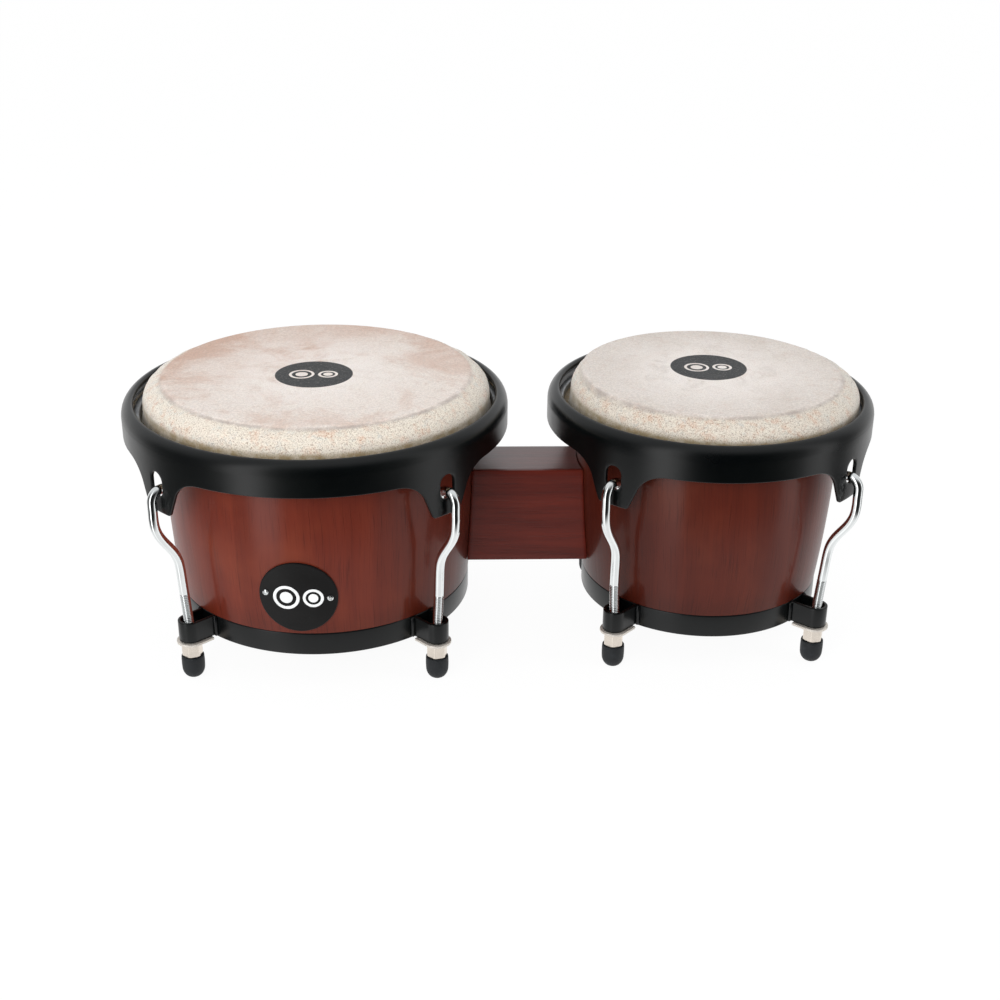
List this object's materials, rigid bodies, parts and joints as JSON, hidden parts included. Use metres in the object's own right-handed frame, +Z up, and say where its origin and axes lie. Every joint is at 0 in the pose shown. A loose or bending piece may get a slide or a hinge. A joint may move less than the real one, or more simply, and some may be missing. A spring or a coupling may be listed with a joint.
{
  "type": "bongo drums",
  "caption": "Pair of hand drums: two open wooden shells of unequal width joined by a block, each with a skin head pulled down by a hoop, hook bolts and footed tuning nuts.",
  "frame": {"origin": "on the floor, under the middle of the pair's overall box", "axes": "+X from the large drum to the small drum, -Y towards the side with the badge, +Z up"},
  "size_m": [0.498, 0.254, 0.1846],
  "materials": {
    "shell_wood": "glossy red-brown mahogany stain over straight vertical grain",
    "block_wood": "satin dark mahogany stain",
    "head_skin": "natural untreated animal skin, matte, mottled",
    "black_coat": "satin black powder coat",
    "chrome": "polished chrome plate",
    "nickel": "warm bright nickel plate",
    "foot_rubber": "matte black rubber",
    "plain_steel": "plain zinc-plated steel",
    "badge_coat": "satin black enamel"
  },
  "bodies": {
    "drum_base": {"centre_block": "block_wood", "badge": "badge_coat", "badge_screw_left": "chrome", "badge_screw_right": "chrome", "large_shell": "shell_wood", "large_bottom_ring": "black_coat", "large_skin": "head_skin", "large_backing_plate": "plain_steel", "large_block_bolt_lower": "plain_steel", "large_block_bolt_upper": "plain_steel", "large_plate_front_left": "nickel", "large_plate_front_right": "nickel", "large_plate_back_right": "nickel", "large_plate_back_left": "nickel", "small_shell": "shell_wood", "small_bottom_ring": "black_coat", "small_skin": "head_skin", "small_backing_plate": "plain_steel", "small_block_bolt_lower": "plain_steel", "small_block_bolt_upper": "plain_steel", "small_plate_front_left": "nickel", "small_plate_front_right": "nickel", "small_plate_back_right": "nickel", "small_plate_back_left": "nickel"},
    "large_rim": {"large_counterhoop": "black_coat", "large_flesh_hoop": "plain_steel", "large_hook_front_left": "chrome", "large_hook_front_right": "chrome", "large_hook_back_right": "chrome", "large_hook_back_left": "chrome"},
    "large_nut_front_left_body": {"large_nut_front_left": "nickel", "large_foot_front_left": "foot_rubber"},
    "large_nut_front_right_body": {"large_nut_front_right": "nickel", "large_foot_front_right": "foot_rubber"},
    "large_nut_back_right_body": {"large_nut_back_right": "nickel", "large_foot_back_right": "foot_rubber"},
    "large_nut_back_left_body": {"large_nut_back_left": "nickel", "large_foot_back_left": "foot_rubber"},
    "small_rim": {"small_counterhoop": "black_coat", "small_flesh_hoop": "plain_steel", "small_hook_front_left": "chrome", "small_hook_front_right": "chrome", "small_hook_back_right": "chrome", "small_hook_back_left": "chrome"},
    "small_nut_front_left_body": {"small_nut_front_left": "nickel", "small_foot_front_left": "foot_rubber"},
    "small_nut_front_right_body": {"small_nut_front_right": "nickel", "small_foot_front_right": "foot_rubber"},
    "small_nut_back_right_body": {"small_nut_back_right": "nickel", "small_foot_back_right": "foot_rubber"},
    "small_nut_back_left_body": {"small_nut_back_left": "nickel", "small_foot_back_left": "foot_rubber"}
  },
  "joints": [
    {"name": "large_nut_front_left_turn", "type": "hinge", "parent": "drum_base", "child": "large_nut_front_left_body", "pos_m": [-0.20342, -0.07798, 0.0162], "axis": [0, 0, -1], "range_deg": [-283.47, 1133.87]},
    {"name": "large_nut_front_right_turn", "type": "hinge", "parent": "drum_base", "child": "large_nut_front_right_body", "pos_m": [-0.04297, -0.08247, 0.0162], "axis": [0, 0, -1], "range_deg": [-283.47, 1133.87]},
    {"name": "large_nut_back_right_turn", "type": "hinge", "parent": "drum_base", "child": "large_nut_back_right_body", "pos_m": [-0.03848, 0.07798, 0.0162], "axis": [0, 0, -1], "range_deg": [-283.47, 1133.87]},
    {"name": "large_nut_back_left_turn", "type": "hinge", "parent": "drum_base", "child": "large_nut_back_left_body", "pos_m": [-0.19893, 0.08247, 0.0162], "axis": [0, 0, -1], "range_deg": [-283.47, 1133.87]},
    {"name": "large_rim_slide", "type": "slide", "parent": "drum_base", "child": "large_rim", "axis": [0, 0, 1], "range_m": [-0.001, 0.004]},
    {"name": "small_nut_front_left_turn", "type": "hinge", "parent": "drum_base", "child": "small_nut_front_left_body", "pos_m": [0.07476, -0.06946, 0.0162], "axis": [0, 0, -1], "range_deg": [-283.47, 1133.87]},
    {"name": "small_nut_front_right_turn", "type": "hinge", "parent": "drum_base", "child": "small_nut_front_right_body", "pos_m": [0.20991, -0.06569, 0.0162], "axis": [0, 0, -1], "range_deg": [-283.47, 1133.87]},
    {"name": "small_nut_back_right_turn", "type": "hinge", "parent": "drum_base", "child": "small_nut_back_right_body", "pos_m": [0.20614, 0.06946, 0.0162], "axis": [0, 0, -1], "range_deg": [-283.47, 1133.87]},
    {"name": "small_nut_back_left_turn", "type": "hinge", "parent": "drum_base", "child": "small_nut_back_left_body", "pos_m": [0.07099, 0.06569, 0.0162], "axis": [0, 0, -1], "range_deg": [-283.47, 1133.87]},
    {"name": "small_rim_slide", "type": "slide", "parent": "drum_base", "child": "small_rim", "axis": [0, 0, 1], "range_m": [-0.001, 0.004]}
  ],
  "couplings": [
    {"joint": "large_nut_front_left_turn", "follows": "large_rim_slide", "rad_per_m": 4947.4},
    {"joint": "large_nut_front_right_turn", "follows": "large_rim_slide", "rad_per_m": 4947.4},
    {"joint": "large_nut_back_right_turn", "follows": "large_rim_slide", "rad_per_m": 4947.4},
    {"joint": "large_nut_back_left_turn", "follows": "large_rim_slide", "rad_per_m": 4947.4},
    {"joint": "small_nut_front_left_turn", "follows": "small_rim_slide", "rad_per_m": 4947.4},
    {"joint": "small_nut_front_right_turn", "follows": "small_rim_slide", "rad_per_m": 4947.4},
    {"joint": "small_nut_back_right_turn", "follows": "small_rim_slide", "rad_per_m": 4947.4},
    {"joint": "small_nut_back_left_turn", "follows": "small_rim_slide", "rad_per_m": 4947.4}
  ]
}
